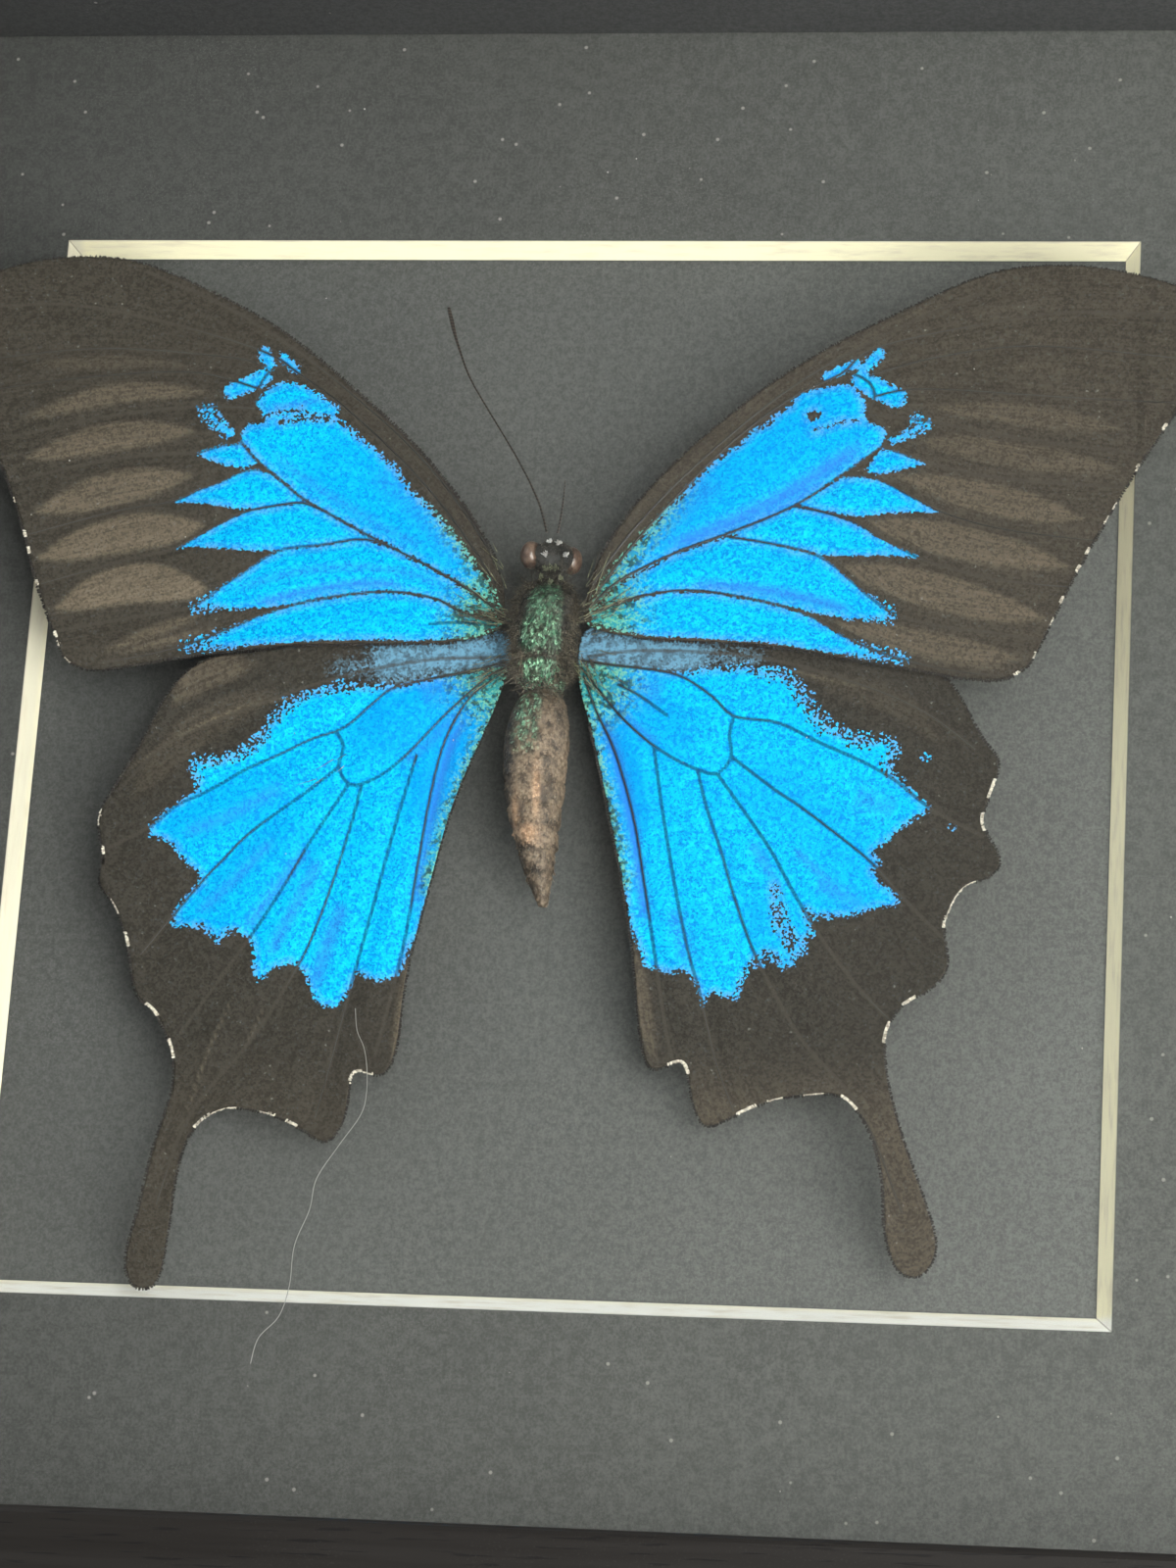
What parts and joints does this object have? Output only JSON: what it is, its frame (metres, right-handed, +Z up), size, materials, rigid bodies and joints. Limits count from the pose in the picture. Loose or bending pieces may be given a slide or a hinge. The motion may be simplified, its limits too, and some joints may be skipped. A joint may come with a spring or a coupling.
{
  "type": "framed butterfly specimen",
  "caption": "Spread blue swallowtail butterfly under glass in a small dark shadow-box frame with a bevel-cut charcoal mat; stands on its edge or hangs.",
  "frame": {"origin": "middle of the frame's footprint, on the surface it stands on", "axes": "+Z up, towards the butterfly's head; -Y out of the glass, towards the viewer; +X to the viewer's right"},
  "size_m": [0.1756, 0.032, 0.1756],
  "materials": {
    "rail": "near-black brown stained wood, satin",
    "glass": "clear picture glass, a little dusty",
    "liner": "charcoal paper over board, matte",
    "mat": "charcoal paper mat board, fine grain, cream bevel",
    "backing": "charcoal paper board, matte",
    "hardboard": "brown pressed hardboard",
    "steel": "zinc-bright steel strip",
    "cork": "cork plug",
    "wing": "scaled wing, metallic blue fields on velvety black-brown",
    "body": "brown fur with green-gold scales",
    "abdomen": "brown furred segments with orange-brown edges",
    "head": "black fur with white dots, pinkish-brown eyes",
    "antenna": "thin black antenna"
  },
  "bodies": {
    "root": {"frame_rail_bottom": "rail", "frame_rail_right": "rail", "frame_rail_top": "rail", "frame_rail_left": "rail", "glazing": "glass", "spacer_top": "liner", "spacer_bottom": "liner", "spacer_left": "liner", "spacer_right": "liner", "mat_board": "mat", "backing_board": "backing", "back_panel": "hardboard", "frame_point_bottom_1": "steel", "frame_point_bottom_2": "steel", "frame_point_right_1": "steel", "frame_point_right_2": "steel", "frame_point_top_1": "steel", "frame_point_top_2": "steel", "frame_point_left_1": "steel", "frame_point_left_2": "steel", "sawtooth_hanger": "steel", "hanger_brad_left": "steel", "hanger_brad_right": "steel", "mounting_pad": "cork", "forewing_left": "wing", "forewing_right": "wing", "hindwing_left": "wing", "hindwing_right": "wing", "thorax": "body", "abdomen": "abdomen", "head": "head", "antenna_left": "antenna", "antenna_right": "antenna"}
  },
  "joints": []
}
